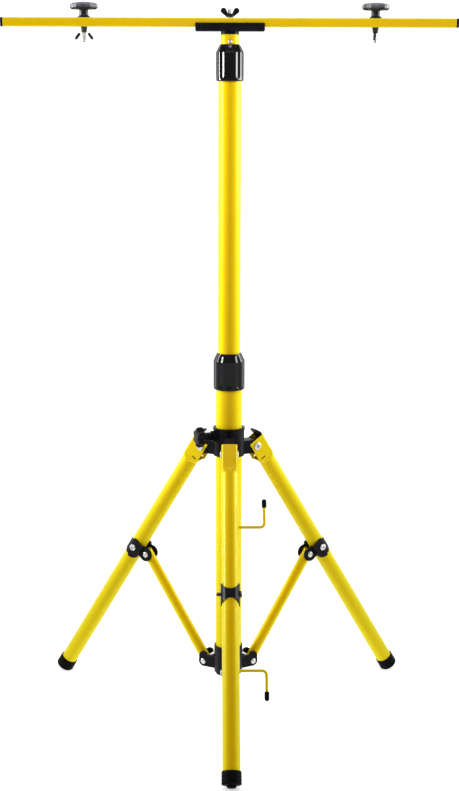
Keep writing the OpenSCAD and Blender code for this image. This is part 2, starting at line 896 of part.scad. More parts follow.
// A wire that leaves the leg sideways and turns along it, upward for dir 1
module cable_hook(drop, dir) {
    arm = hook_arm - bend_r - tip_len + 6;
    color(yellow) on_mast() at_hook(drop, dir) {
        cross_pin(wire_r, 6, hook_reach - bend_r);
        translate([0, hook_reach - bend_r, bend_r]) rotate([90, 0, 90]) rotate([0, 0, -90])
            rotate_extrude(angle = 90) translate([bend_r, 0]) circle(r = wire_r);
        translate([0, hook_reach, bend_r]) cylinder(r = wire_r, h = arm);
    }
}

module hook_tip(drop, dir) {
    tip_r = 3.3;
    color(rubber) on_mast() at_hook(drop, dir)
        translate([0, hook_reach, hook_arm - tip_len]) difference() {
            union() {
                cylinder(r1 = tip_r - 0.7, r2 = tip_r, h = 1);
                translate([0, 0, 1]) cylinder(r = tip_r, h = tip_len - 3);
                translate([0, 0, tip_len - 2]) cylinder(r1 = tip_r, r2 = tip_r - 1.7, h = 2);
            }
            translate([0, 0, -over]) cylinder(r = wire_r + 0.02, h = 6 + over + 0.1);
        }
}

module cable_hook_upper() {
    cable_hook(upper_hook_drop, 1);
}

module cable_hook_lower() {
    cable_hook(lower_hook_drop, -1);
}

module hook_tip_upper() {
    hook_tip(upper_hook_drop, 1);
}

module hook_tip_lower() {
    hook_tip(lower_hook_drop, -1);
}

mast_lower_tube();
mast_bottom_plug();
bottom_bracket();
bracket_stop_pins();
brace_foot_rivets();
lower_collar_base();
lower_collet();
lower_collar();
middle_guide_bush();
middle_tube();
upper_collar_base();
upper_collet();
upper_collar();
inner_guide_bush();
inner_tube();
head_bracket();
head_rivet();
crossbar();
crossbar_plug_left();
crossbar_plug_right();
crossbar_bolt();
crossbar_washer();
crossbar_wing_nut();
lamp_knob_left();
lamp_knob_right();
lamp_bolt_left();
lamp_bolt_right();
lamp_wing_nut_left();
lamp_wing_nut_right();
hub();
hub_rivets();
hub_brake_pad();
hub_clamp_knob();
hub_clamp_stud();
leg_front();
leg_left();
leg_right();
leg_cap_front();
leg_cap_left();
leg_cap_right();
foot_front();
foot_left();
foot_right();
leg_clip_front();
leg_clip_left();
leg_clip_right();
clip_screw_front();
clip_screw_left();
clip_screw_right();
clip_rivet_front();
clip_rivet_left();
clip_rivet_right();
brace_front();
brace_left();
brace_right();
cable_hook_upper();
cable_hook_lower();
hook_tip_upper();
hook_tip_lower();
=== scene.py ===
"""Looks of a telescopic work light stand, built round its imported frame. Lengths are in metres."""

import json
import math

import bmesh
import bpy
import numpy as np
from mathutils import Matrix, Vector


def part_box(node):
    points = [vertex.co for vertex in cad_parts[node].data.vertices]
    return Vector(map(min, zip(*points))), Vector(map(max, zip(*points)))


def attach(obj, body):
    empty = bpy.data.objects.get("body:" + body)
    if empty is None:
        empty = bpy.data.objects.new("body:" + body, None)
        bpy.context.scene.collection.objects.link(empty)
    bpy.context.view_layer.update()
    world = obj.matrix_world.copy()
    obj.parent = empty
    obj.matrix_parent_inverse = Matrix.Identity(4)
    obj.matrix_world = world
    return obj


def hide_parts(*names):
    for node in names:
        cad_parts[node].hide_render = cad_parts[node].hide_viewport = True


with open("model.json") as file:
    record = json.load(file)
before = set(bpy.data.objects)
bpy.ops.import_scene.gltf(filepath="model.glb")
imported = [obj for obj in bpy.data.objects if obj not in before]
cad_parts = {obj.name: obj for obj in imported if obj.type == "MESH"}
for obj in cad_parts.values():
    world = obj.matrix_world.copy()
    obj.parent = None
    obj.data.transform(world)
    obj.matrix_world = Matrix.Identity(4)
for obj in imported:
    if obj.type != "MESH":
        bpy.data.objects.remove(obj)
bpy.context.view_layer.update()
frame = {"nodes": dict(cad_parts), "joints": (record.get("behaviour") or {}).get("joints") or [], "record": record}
MM = 0.001
WHITE = (1.0, 1.0, 1.0, 1.0)

BODIES = frame["record"]["behaviour"]["bodies"]
BODY_OF = {node: body for body, nodes in BODIES.items() for node in nodes}
SLOT_OF = {part["node"]: part["material_slot"] for part in frame["record"]["subparts"]}
JOINTS = {joint["name"]: joint for joint in frame["joints"]}


def middle(node):
    low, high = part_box(node)
    return (low + high) / 2


def radius_of(node):
    """Outside radius of an upright round node."""
    low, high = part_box(node)
    return (high.x - low.x) / 2


MAST = middle("mast_lower_tube")


# ---------- Materials ----------


class Shader:
    """A node material that starts with a Principled shader and object coordinates."""

    def __init__(self, name):
        self.material = bpy.data.materials.new(name)
        self.material.use_nodes = True
        self.tree = self.material.node_tree
        self.bsdf = self.tree.nodes["Principled BSDF"]
        self.place = self.add("ShaderNodeTexCoord").outputs["Object"]

    def add(self, kind, inputs=None, **settings):
        node = self.tree.nodes.new(kind)
        for key, value in settings.items():
            setattr(node, key, value)
        for key, value in (inputs or {}).items():
            self.put(node.inputs[key], value)
        return node

    def put(self, socket, value):
        if isinstance(value, bpy.types.NodeSocket):
            self.tree.links.new(value, socket)
        else:
            socket.default_value = value

    def set(self, **inputs):
        for key, value in inputs.items():
            self.put(self.bsdf.inputs[key.replace("_", " ")], value)

    def noise(self, scale, detail, rough=0.55):
        inputs = {"Vector": self.place, "Scale": scale, "Detail": detail, "Roughness": rough}
        return self.add("ShaderNodeTexNoise", inputs).outputs["Fac"]

    def ramp(self, value, low, high, to_low=0.0, to_high=1.0):
        """value between low and high becomes to_low to to_high, smoothly."""
        inputs = {"Value": value, "From Min": low, "From Max": high,
                  "To Min": to_low, "To Max": to_high}
        return self.add("ShaderNodeMapRange", inputs, interpolation_type="SMOOTHSTEP").outputs[0]

    def maths(self, operation, a, b):
        return self.add("ShaderNodeMath", {0: a, 1: b}, operation=operation).outputs[0]

    def mix(self, share, a, b):
        inputs = {"Factor": share, "A": a, "B": b}
        node = self.tree.nodes.new("ShaderNodeMix")
        node.data_type = "RGBA"
        for key, value in inputs.items():
            socket = next(s for s in node.inputs if s.name == key and s.enabled)
            self.put(socket, value)
        return next(s for s in node.outputs if s.enabled)

    def component(self, vector, axis):
        """One axis of a vector."""
        return self.add("ShaderNodeSeparateXYZ", {"Vector": vector}).outputs[axis]

    def soften(self, radius):
        """The normal as if every edge had this radius."""
        return self.add("ShaderNodeBevel", {"Radius": radius}, samples=4).outputs[0]

    def edges(self, radius):
        """1 on edges sharper than a bevel of this radius, 0 on flats."""
        true = self.add("ShaderNodeNewGeometry").outputs["Normal"]
        inputs = {0: self.soften(radius), 1: true}
        dot = self.add("ShaderNodeVectorMath", inputs, operation="DOT_PRODUCT").outputs["Value"]
        return self.ramp(dot, 0.97, 0.86)

    def bump(self, height, depth, strength, edge_radius):
        inputs = {"Height": height, "Distance": depth, "Strength": strength,
                  "Normal": self.soften(edge_radius)}
        self.set(Normal=self.add("ShaderNodeBump", inputs).outputs[0])


def rgb(r, g, b):
    return (r, g, b, 1.0)


def yellow_paint():
    """Powder coat, thin on edges and a little chipped, with a painted sheen: paler, greener yellow where it turns
    away from the eye.
    """
    s = Shader("yellow_powder_coat")
    clean, deep = rgb(0.86, 0.575, 0.001), rgb(0.84, 0.555, 0.001)
    worn, painted_sheen_lemon, primer = rgb(0.90, 0.70, 0.02), rgb(0.88, 0.74, 0.004), rgb(0.25, 0.20, 0.08)
    body = s.mix(s.ramp(s.noise(22, 4), 0.35, 0.68), clean, deep)
    # Painted sheen: the paint goes a paler, greener yellow where the surface turns away from the eye, standing in
    # for the brightly lit sides of the tubes.
    painted_sheen_share = s.add("ShaderNodeLayerWeight", {"Blend": 0.5}).outputs["Facing"]
    body = s.mix(s.ramp(painted_sheen_share, 0.02, 0.30), body, painted_sheen_lemon)
    chips = s.maths("MULTIPLY", s.edges(0.0009), s.ramp(s.noise(420, 4), 0.50, 0.62))
    paint = s.mix(s.maths("MULTIPLY", s.edges(0.0008), 0.3), body, worn)
    s.set(Base_Color=s.mix(s.maths("MULTIPLY", chips, 0.2), paint, primer))
    s.set(Roughness=s.ramp(s.noise(60, 5), 0.3, 0.7, 0.24, 0.34))
    s.set(Specular_IOR_Level=0.2)
    s.bump(s.noise(900, 2), 0.00003, 0.3, 0.0005)
    return s.material


def satin_black():
    """Moulded plastic of the hub, the head, the plugs and the caps, paler on handled edges."""
    s = Shader("satin_black_plastic")
    dark, pale = rgb(0.006, 0.0048, 0.009), rgb(0.011, 0.009, 0.016)
    handled = rgb(0.030, 0.028, 0.038)
    body = s.mix(s.ramp(s.noise(70, 4), 0.35, 0.7), dark, pale)
    s.set(Base_Color=s.mix(s.maths("MULTIPLY", s.edges(0.0009), 0.4), body, handled))
    s.set(Roughness=s.ramp(s.noise(150, 4), 0.3, 0.7, 0.30, 0.46))
    s.set(Specular_IOR_Level=0.2)
    s.bump(s.noise(2600, 2), 0.00003, 0.4, 0.0006)
    return s.material


def knob_black():
    """Plastic of the lamp knobs, with a painted highlight in pale grey on the upward faces of their caps."""
    s = Shader("knob_black_plastic")
    dark, pale = rgb(0.010, 0.009, 0.013), rgb(0.022, 0.020, 0.027)
    # Painted highlight: pale grey in patches on the upward faces near the top of each cap, standing in for light
    # falling from above.
    dust_and_highlight = rgb(0.20, 0.185, 0.215)
    up = s.component(s.add("ShaderNodeNewGeometry").outputs["Normal"], "Z")
    height = s.component(s.place, "Z")
    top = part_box("lamp_knob_left")[1].z
    highlight_patches = s.ramp(s.noise(90, 4), 0.25, 0.65, 0.55, 1.0)
    painted_highlight_share = s.maths("MULTIPLY", s.ramp(up, -0.3, 0.4), highlight_patches)
    painted_highlight_share = s.maths("MULTIPLY", painted_highlight_share, s.ramp(height, top - 13 * MM, top - 8 * MM))
    body = s.mix(s.ramp(s.noise(70, 4), 0.35, 0.7), dark, pale)
    s.set(Base_Color=s.mix(painted_highlight_share, body, dust_and_highlight))
    s.set(Roughness=s.ramp(s.noise(150, 4), 0.3, 0.7, 0.34, 0.48))
    s.bump(s.noise(2600, 2), 0.00003, 0.4, 0.0006)
    return s.material


def gloss_black():
    """Polished plastic of the twist collars."""
    s = Shader("gloss_black_plastic")
    dark, pale = rgb(0.0015, 0.001, 0.0025), rgb(0.005, 0.004, 0.008)
    handled = rgb(0.04, 0.04, 0.05)
    body = s.mix(s.ramp(s.noise(40, 3), 0.35, 0.7), dark, pale)
    s.set(Base_Color=s.mix(s.maths("MULTIPLY", s.edges(0.0008), 0.4), body, handled))
    s.set(Roughness=s.ramp(s.noise(120, 3), 0.35, 0.75, 0.10, 0.15))
    return s.material


def black_steel():
    """Painted steel of the bottom bracket and the leg clips, rubbed in spots on the edges."""
    s = Shader("black_painted_steel")
    dark, pale, bare = rgb(0.006, 0.005, 0.010), rgb(0.012, 0.010, 0.018), rgb(0.20, 0.19, 0.19)
    body = s.mix(s.ramp(s.noise(90, 4), 0.35, 0.7), dark, pale)
    rubbed = s.maths("MULTIPLY", s.edges(0.0007), s.ramp(s.noise(500, 4), 0.46, 0.60))
    s.set(Base_Color=s.mix(s.maths("MULTIPLY", rubbed, 0.5), body, bare))
    s.set(Roughness=s.ramp(s.noise(180, 4), 0.3, 0.7, 0.26, 0.42))
    s.set(Specular_IOR_Level=0.25)
    s.bump(s.noise(1300, 2), 0.00005, 0.4, 0.0004)
    return s.material


def zinc(name, bright, dull, rough):
    """Zinc plate in patches of two tints. rough is its lowest and highest roughness."""
    s = Shader(name)
    tint = s.mix(s.ramp(s.noise(120, 4), 0.35, 0.68), bright, dull)
    s.set(Base_Color=s.mix(s.edges(0.0005), tint, rgb(0.90, 0.90, 0.90)))
    s.set(Metallic=1.0, Roughness=s.ramp(s.noise(700, 4), 0.3, 0.7, *rough))
    s.bump(s.noise(1500, 3), 0.00004, 0.4, 0.0004)
    return s.material


def rubber():
    """Rubber of the feet and the hook tips, with patches of dust."""
    s = Shader("black_rubber")
    clean, dust_and_highlight = rgb(0.002, 0.002, 0.0025), rgb(0.010, 0.0095, 0.009)
    dust = s.ramp(s.noise(130, 5, 0.7), 0.52, 0.75)
    s.set(Base_Color=s.mix(s.maths("MULTIPLY", dust, 0.3), clean, dust_and_highlight))
    s.set(Roughness=s.ramp(s.noise(400, 3), 0.3, 0.7, 0.45, 0.70))
    s.set(Specular_IOR_Level=0.15)
    s.bump(s.noise(1500, 4), 0.00012, 0.6, 0.0005)
    return s.material


def nylon():
    """Uncoloured nylon of the collets, the guide bushes and the brake pad."""
    s = Shader("natural_nylon")
    dark, pale = rgb(0.62, 0.61, 0.55), rgb(0.70, 0.69, 0.64)
    s.set(Base_Color=s.mix(s.ramp(s.noise(90, 3), 0.3, 0.7), dark, pale))
    s.set(Roughness=s.ramp(s.noise(300, 3), 0.3, 0.7, 0.35, 0.5))
    s.bump(s.noise(1400, 2), 0.00004, 0.4, 0.0004)
    return s.material


MATERIALS = {
    "yellow_paint": yellow_paint(),
    "black_plastic": satin_black(),
    "gloss_black": gloss_black(),
    "black_steel": black_steel(),
    "zinc": zinc("zinc_plate", rgb(0.92, 0.92, 0.92), rgb(0.78, 0.77, 0.75), (0.22, 0.36)),
    "rubber": rubber(),
    "nylon": nylon(),
    "knob": knob_black(),
    "bolt_zinc": zinc("zinc_plate_dry", rgb(0.60, 0.60, 0.61), rgb(0.48, 0.48, 0.48),
                      (0.42, 0.58)),
    # Painted shade: zinc coloured near black, standing in for the dark reflections of the zinc wing nuts. The
    # front clip screw is coloured with it too.
    "zinc_painted_dark": zinc("zinc_plate_painted_dark", rgb(0.10, 0.10, 0.11), rgb(0.05, 0.05, 0.055),
                      (0.30, 0.45)),
}


def coat(piece, slot):
    piece.data.materials.clear()
    piece.data.materials.append(MATERIALS[slot])


for node, piece in frame["nodes"].items():
    coat(piece, SLOT_OF[node])
# The front clip screw takes the near-black zinc as well.
coat(frame["nodes"]["clip_screw_front"], "zinc_painted_dark")
coat(frame["nodes"]["head_rivet"], "bolt_zinc")


# ---------- Shapes ----------


def rounded(points, steps):
    """Outline with fillets of so many steps.

    Each point is (radius, height) or (radius, height, fillet).
    """
    out = []
    count = len(points)
    for i, point in enumerate(points):
        here = Vector(point[:2])
        fillet = point[2] if len(point) > 2 else 0
        if not fillet:
            out.append(tuple(here))
            continue
        before = (Vector(points[i - 1][:2]) - here).normalized()
        after = (Vector(points[(i + 1) % count][:2]) - here).normalized()
        half = before.angle(after) / 2
        start = here + before * fillet / math.tan(half)
        end = here + after * fillet / math.tan(half)
        centre = here + (before + after).normalized() * fillet / math.sin(half)
        from_angle = math.atan2(start.y - centre.y, start.x - centre.x)
        sweep = math.atan2(end.y - centre.y, end.x - centre.x) - from_angle
        sweep = (sweep + math.pi) % (2 * math.pi) - math.pi
        for k in range(steps + 1):
            a = from_angle + sweep * k / steps
            out.append((centre.x + fillet * math.cos(a), centre.y + fillet * math.sin(a)))
    return out


# An outline point nearer to the axis than this becomes one vertex on it
ON_AXIS = 1e-7


def turned(outline, segments, shape=None):
    """The outline turned about Z. It is a closed ring, unless it starts and ends on the axis.

    shape(radius, height, angle) gives the real radius there.
    """
    bm = bmesh.new()
    rings = []
    for r, z in outline:
        if r < ON_AXIS:
            rings.append([bm.verts.new((0, 0, z))])
            continue
        ring = []
        for i in range(segments):
            a = 2 * math.pi * i / segments
            q = shape(r, z, a) if shape else r
            ring.append(bm.verts.new((q * math.cos(a), q * math.sin(a), z)))
        rings.append(ring)
    pairs = list(zip(rings, rings[1:]))
    if len(rings[0]) > 1:
        pairs.append((rings[-1], rings[0]))
    for low, high in pairs:
        for i in range(segments):
            corners = [low[i % len(low)], low[(i + 1) % segments % len(low)],
                       high[(i + 1) % segments % len(high)], high[i % len(high)]]
            corners = list(dict.fromkeys(corners))
            if len(corners) > 2:
                bm.faces.new(corners)
    return bm


def upright(x, y, z=0.0):
    """A matrix that stands a shape on this place."""
    return Matrix.Translation((x, y, z))


def spin(degrees):
    """A matrix that turns a shape about its own Z."""
    return Matrix.Rotation(math.radians(degrees), 4, "Z")


def along(place, direction):
    """A matrix whose Z runs along direction from place."""
    turn = Vector(direction).to_track_quat("Z", "X").to_matrix().to_4x4()
    return Matrix.Translation(place) @ turn


def cad_points(node, place):
    """The CAD node's corners, as seen from place."""
    return np.array([place.inverted() @ v.co for v in frame["nodes"][node].data.vertices])


def new_piece(name, bm, place, node, smooth_angle):
    """Makes the mesh an object that stands for a CAD node, with that node's body, slot and finish.

    Edges sharper than smooth_angle, in degrees, stay sharp.
    """
    bmesh.ops.transform(bm, matrix=place, verts=bm.verts)
    bmesh.ops.recalc_face_normals(bm, faces=bm.faces)
    mesh = bpy.data.meshes.new(name)
    bm.to_mesh(mesh)
    bm.free()
    mesh.shade_smooth()
    mesh.set_sharp_from_angle(angle=math.radians(smooth_angle))
    made = bpy.data.objects.new(name, mesh)
    bpy.context.scene.collection.objects.link(made)
    coat(made, SLOT_OF[node])
    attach(made, BODY_OF[node])
    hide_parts(node)
    return made


def smooth_step(x, low, high):
    t = min(1.0, max(0.0, (x - low) / (high - low)))
    return t * t * (3 - 2 * t)


# ---------- Twist collars ----------


FLUTES = 10
FLUTE_DEPTH = 1.15 * MM
CROWN_SHARE = 0.21
COLLAR_ROWS, CROWN_ROWS = 12, 6


def twist_collar(node, base, tube, lip_width):
    """A fluted nut with soft ribs between its finger grooves, a chamfered crown and a real bore."""
    low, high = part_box(node)
    outer, tube_r, base_r = radius_of(node), radius_of(tube), radius_of(base)
    z0, z1 = low.z, high.z
    crown = (z1 - z0) * CROWN_SHARE
    shoulder, lip = z1 - crown, tube_r + lip_width
    foot, seal = 5 * MM, z1 - 4 * MM
    base_bore, tube_bore = base_r + 0.12 * MM, tube_r + 0.1 * MM
    rows = [(outer, shoulder - (shoulder - z0 - foot) * k / COLLAR_ROWS)
            for k in range(1, COLLAR_ROWS)]
    crown_rows = [(lip + (outer - lip) * k / CROWN_ROWS, z1 - crown * k / CROWN_ROWS)
                  for k in range(1, CROWN_ROWS)]
    inside = [(base_bore, z0, 0.3 * MM), (base_bore, shoulder - 4 * MM),
              (tube_r + 1.4 * MM, seal), (tube_bore, seal), (tube_bore, z1)]
    outside = [(lip, z1, 0.4 * MM)] + crown_rows + [(outer, shoulder, 1.6 * MM)] + rows
    outside += [(outer, z0 + foot), (outer, z0 + foot - 1.5 * MM),
                (outer, z0 + 1.2 * MM, 0.8 * MM), (outer - 1.2 * MM, z0, 0.5 * MM)]

    def flute(r, z, a):
        is_bore = r < tube_r + 1.5 * MM or (r < base_r + 0.3 * MM and z < shoulder)
        if is_bore:
            return r
        wave = (0.5 - 0.5 * math.cos(FLUTES * a)) ** 1.6
        up = smooth_step(z, z0 + 2.5 * MM, z0 + 6.5 * MM)
        fade = smooth_step(r, lip + 0.2 * MM, lip + 2.2 * MM)
        return r - FLUTE_DEPTH * wave * up * fade

    bm = turned(rounded(outside + inside, 4), 160, flute)
    new_piece(node + "_body", bm, upright(MAST.x, MAST.y), node, 50)


twist_collar("lower_collar", "lower_collar_base", "middle_tube", 1.6 * MM)
twist_collar("upper_collar", "upper_collar_base", "inner_tube", 1.1 * MM)


# ---------- Knobs ----------


LOBES = 6
KNOB_SEGMENTS = 144


def lobes(depth, inner):
    """Round lobes that fade out towards the middle of the cap."""
    def shape(r, z, a):
        share = smooth_step(r, inner, inner * 1.5)
        return r - depth * share * (0.5 - 0.5 * math.cos(LOBES * a)) ** 1.25
    return shape


def lamp_knob(side, turn):
    """A domed cap with lobes, on a waisted neck with a flange. turn is in degrees."""
    node = "lamp_knob_" + side
    low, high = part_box(node)
    bore = radius_of("lamp_bolt_" + side) + 0.02 * MM
    z0, top = low.z, high.z
    cap_r, cap_z = radius_of(node), top - 10.2 * MM
    flange_r, bore_end = 9 * MM, top - 5.5 * MM
    cap = [(0, top), (6 * MM, top, 2 * MM), (cap_r * 0.78, top - 1.1 * MM, 4 * MM),
           (cap_r - 0.3 * MM, top - 3.0 * MM, 1.8 * MM), (cap_r, cap_z + 2.4 * MM, 2 * MM),
           (cap_r - 2.2 * MM, cap_z, 1.0 * MM), (7.4 * MM, cap_z + 0.6 * MM, 1.2 * MM)]
    neck = [(6.0 * MM, cap_z - 1.2 * MM, 1.5 * MM), (6.4 * MM, z0 + 2.6 * MM, 1.2 * MM),
            (flange_r, z0 + 1.0 * MM, 0.5 * MM), (flange_r, z0, 0.2 * MM)]
    inside = [(bore, z0), (bore, bore_end), (0, bore_end)]
    bm = turned(rounded(cap + neck + inside, 5), KNOB_SEGMENTS, lobes(3.4 * MM, 9.5 * MM))
    place = upright(middle("lamp_bolt_" + side).x, MAST.y) @ spin(turn)
    coat(new_piece(node + "_cap", bm, place, node, 45), "knob")


lamp_knob("left", 0)
lamp_knob("right", 6)


def clamp_knob():
    """The hub's knob: a lobed cap on a plain neck, along the clamp's axis."""
    node = "hub_clamp_knob"
    joint = JOINTS["hub_clamp_turn"]
    place = along(joint["pos_m"], joint["axis"])
    local = cad_points(node, place)
    reach = np.hypot(local[:, 0], local[:, 1]).max()
    near, far = local[:, 2].min(), local[:, 2].max()
    bore, bore_end, neck_r = 3.52 * MM, far - 6 * MM, 6.2 * MM
    cap = far - 12 * MM
    outline = [(0, far), (7 * MM, far, 2 * MM), (reach - 2.2 * MM, far - 0.6 * MM, 2.2 * MM),
               (reach, far - 3.4 * MM, 2 * MM), (reach, cap + 2.6 * MM, 2 * MM),
               (reach - 1.6 * MM, cap, 1.2 * MM), (7.2 * MM, cap - 0.6 * MM, 1.5 * MM),
               (neck_r, cap - 3.5 * MM, 1 * MM), (neck_r, near, 0.6 * MM),
               (bore, near), (bore, bore_end), (0, bore_end)]
    bm = turned(rounded(outline, 5), KNOB_SEGMENTS, lobes(3.2 * MM, 8.5 * MM))
    new_piece(node + "_cap", bm, place, node, 45)


clamp_knob()


# ---------- Threaded bolts ----------


def thread(major, pitch, bottom, top):
    """Radius of a sharp-crested screw thread that runs out at both ends."""
    depth = pitch * 0.55

    def shape(r, z, a):
        if r < major * 0.98:
            return r
        phase = (z / pitch - a / (2 * math.pi)) % 1.0
        run_out = smooth_step(z, bottom, bottom + pitch) * (1 - smooth_step(z, top - pitch, top))
        return r - depth * abs(2 * phase - 1) * run_out
    return shape


PITCH = 0.8 * MM
ROWS_PER_TURN = 6


def lamp_bolt(side):
    """A rod threaded over its whole length, with a chamfered tip. Its top is inside the knob."""
    node = "lamp_bolt_" + side
    low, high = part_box(node)
    r, start = radius_of(node), low.z + 0.6 * MM
    rows = [(r, z) for z in np.arange(start, high.z, PITCH / ROWS_PER_TURN)]
    tip = [(0, low.z), (r - 0.6 * MM, low.z)]
    end = [(r, high.z), (r, high.z - 0.5 * MM), (r - 0.5 * MM, high.z), (0, high.z)]
    bm = turned(tip + rows + end, 32, thread(r, PITCH, start, high.z))
    coat(new_piece(node + "_thread", bm, upright(middle(node).x, MAST.y), node, 60), "bolt_zinc")


lamp_bolt("left")
lamp_bolt("right")


# ---------- Wing nuts ----------


def plate(bm, outline, thickness, edge):
    """Adds a plate with rounded edges: the outline in X and Z, the thickness along Y."""
    loop = [bm.verts.new((x, -thickness / 2, z)) for x, z in outline]
    front = bm.faces.new(loop)
    grown = bmesh.ops.extrude_face_region(bm, geom=[front])["geom"]
    far = [v for v in grown if isinstance(v, bmesh.types.BMVert)]
    bmesh.ops.translate(bm, verts=far, vec=(0, thickness, 0))
    near = set(loop)
    both = near | set(far)
    rims = [e for e in bm.edges if e.verts[0] in both and e.verts[1] in both
            and (e.verts[0] in near) == (e.verts[1] in near)]
    bmesh.ops.bevel(bm, geom=rims, offset=edge, segments=3, profile=0.5, affect="EDGES")


BLADE_STEPS = 8


def blade(side, root, tip, root_half, tip_half):
    """Outline of one wing: a tapering arm with round ends, from root to tip."""
    root, tip = Vector(root), Vector(tip)
    lean = math.atan2(tip.y - root.y, tip.x - root.x)
    points = []
    ends = ((root, root_half, lean + math.pi / 2), (tip, tip_half, lean - math.pi / 2))
    for centre, half, start in ends:
        for k in range(BLADE_STEPS + 1):
            a = start + math.pi * k / BLADE_STEPS
            points.append((side * (centre.x + half * math.cos(a)), centre.y + half * math.sin(a)))
    return points if side > 0 else points[::-1]


def wing_nut(node, place, body, wing, thickness):
    """Round body along Z with a bore and two wings.

    body is (bore, radius at the base, radius at the top, height), and wing is what blade() takes.
    """
    bore, base_r, top_r, height = body
    outline = [(base_r, 0, 0.4 * MM), (base_r, 1.6 * MM, 0.6 * MM), (top_r, height, 0.6 * MM),
               (bore, height), (bore, 0)]
    bm = turned(rounded(outline, 3), 48)
    for side in (1, -1):
        plate(bm, blade(side, *wing), thickness, 0.7 * MM)
    made = new_piece(node + "_wings", bm, place, node, 50)
    # Zinc wing nuts get the near-black zinc: painted shade for their dark reflections.
    if SLOT_OF[node] == "zinc":
        coat(made, "zinc_painted_dark")


def lamp_wing_nut(side, turn):
    """Hangs upside down under the crossbar, turned by so many degrees."""
    node = "lamp_wing_nut_" + side
    low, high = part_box(node)
    half = max(high.x - low.x, high.y - low.y) / 2
    drop = high.z - low.z
    tip_half, reach, rise = 2.0 * MM, 4.1 * MM, 5.6 * MM
    tip = (half - 2.1 * MM, drop - 2.1 * MM)
    root = (tip[0] - reach, tip[1] - rise)
    upside_down = Matrix.Rotation(math.pi, 4, "X")
    place = upright(middle(node).x, MAST.y, high.z) @ spin(turn) @ upside_down
    body = (2.52 * MM, 4.6 * MM, 3.4 * MM, 8 * MM)
    wing_nut(node, place, body, (root, tip, 1.8 * MM, tip_half), 3.6 * MM)


def centre_wing_nut(turn):
    """Stands on the crossbar, turned by so many degrees."""
    node = "crossbar_wing_nut"
    low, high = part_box(node)
    ear, bore = 3.9 * MM, 3.1 * MM + 0.02 * MM
    tip = ((high.x - low.x) / 2 / math.cos(math.radians(turn)) - ear, high.z - low.z - ear)
    body = (bore, 5.6 * MM, 4.6 * MM, 5 * MM)
    place = upright(MAST.x, MAST.y, low.z) @ spin(turn)
    wing_nut(node, place, body, ((4.6 * MM, 3.0 * MM), tip, 2.2 * MM, ear), 3.2 * MM)


lamp_wing_nut("left", 0)
lamp_wing_nut("right", 78)
centre_wing_nut(12)


# ---------- Feet ----------


LEG_TUBE_R = 12 * MM


def leg_end(side):
    """A matrix at the middle of the leg tube's lower end, Z up the leg, measured on the CAD leg."""
    verts = np.array([v.co for v in frame["nodes"]["leg_" + side].data.vertices])
    top = np.array([MAST.x, MAST.y, JOINTS["hub_lift"]["pos_m"][2]])
    reach = np.linalg.norm(verts - top, axis=1)
    rim = verts[reach > reach.max() - 20 * MM]
    centre = rim.mean(0)
    up = np.linalg.svd(rim - centre)[2][2]
    if up[2] < 0:
        up = -up
    return along(centre, up)


def foot(side):
    """A ribbed rubber cup on the leg's end. What would be under the floor is cut off flat."""
    node = "foot_" + side
    place = leg_end(side)
    mouth = cad_points(node, place)[:, 2].max()
    cup_r, inner_r = LEG_TUBE_R + 1.6 * MM, LEG_TUBE_R + 0.05 * MM
    groove_r, bottom = cup_r - 0.35 * MM, -0.1 * MM
    rim, nose = -4.3 * MM, -8.3 * MM
    nose_cone = [(0, nose), (5.0 * MM, nose, 1.4 * MM), (7.0 * MM, rim - 1.2 * MM, 1.5 * MM),
                 (7.4 * MM, rim, 0.4 * MM), (cup_r, rim, 1.8 * MM)]
    grooves = [(cup_r, -1.2 * MM), (groove_r, -0.9 * MM), (groove_r, -0.1 * MM), (cup_r, 0.2 * MM),
               (cup_r, 3.8 * MM), (groove_r, 4.1 * MM), (groove_r, 4.9 * MM), (cup_r, 5.2 * MM)]
    lip = [(cup_r - 0.25 * MM, mouth - 0.6 * MM, 0.4 * MM), (cup_r - 0.9 * MM, mouth, 0.3 * MM),
           (inner_r, mouth, 0.2 * MM), (inner_r, bottom), (0, bottom)]
    bm = turned(rounded(nose_cone + grooves + lip, 4), 72)
    bmesh.ops.transform(bm, matrix=place, verts=bm.verts)
    bmesh.ops.bisect_plane(bm, geom=bm.verts[:] + bm.edges[:] + bm.faces[:],
                           plane_co=(0, 0, 0), plane_no=(0, 0, 1), clear_inner=True)
    bmesh.ops.holes_fill(bm, edges=[e for e in bm.edges if e.is_boundary], sides=0)
    new_piece(node + "_rubber", bm, Matrix.Identity(4), node, 40)


for side in ("front", "left", "right"):
    foot(side)


# ---------- Studio ----------


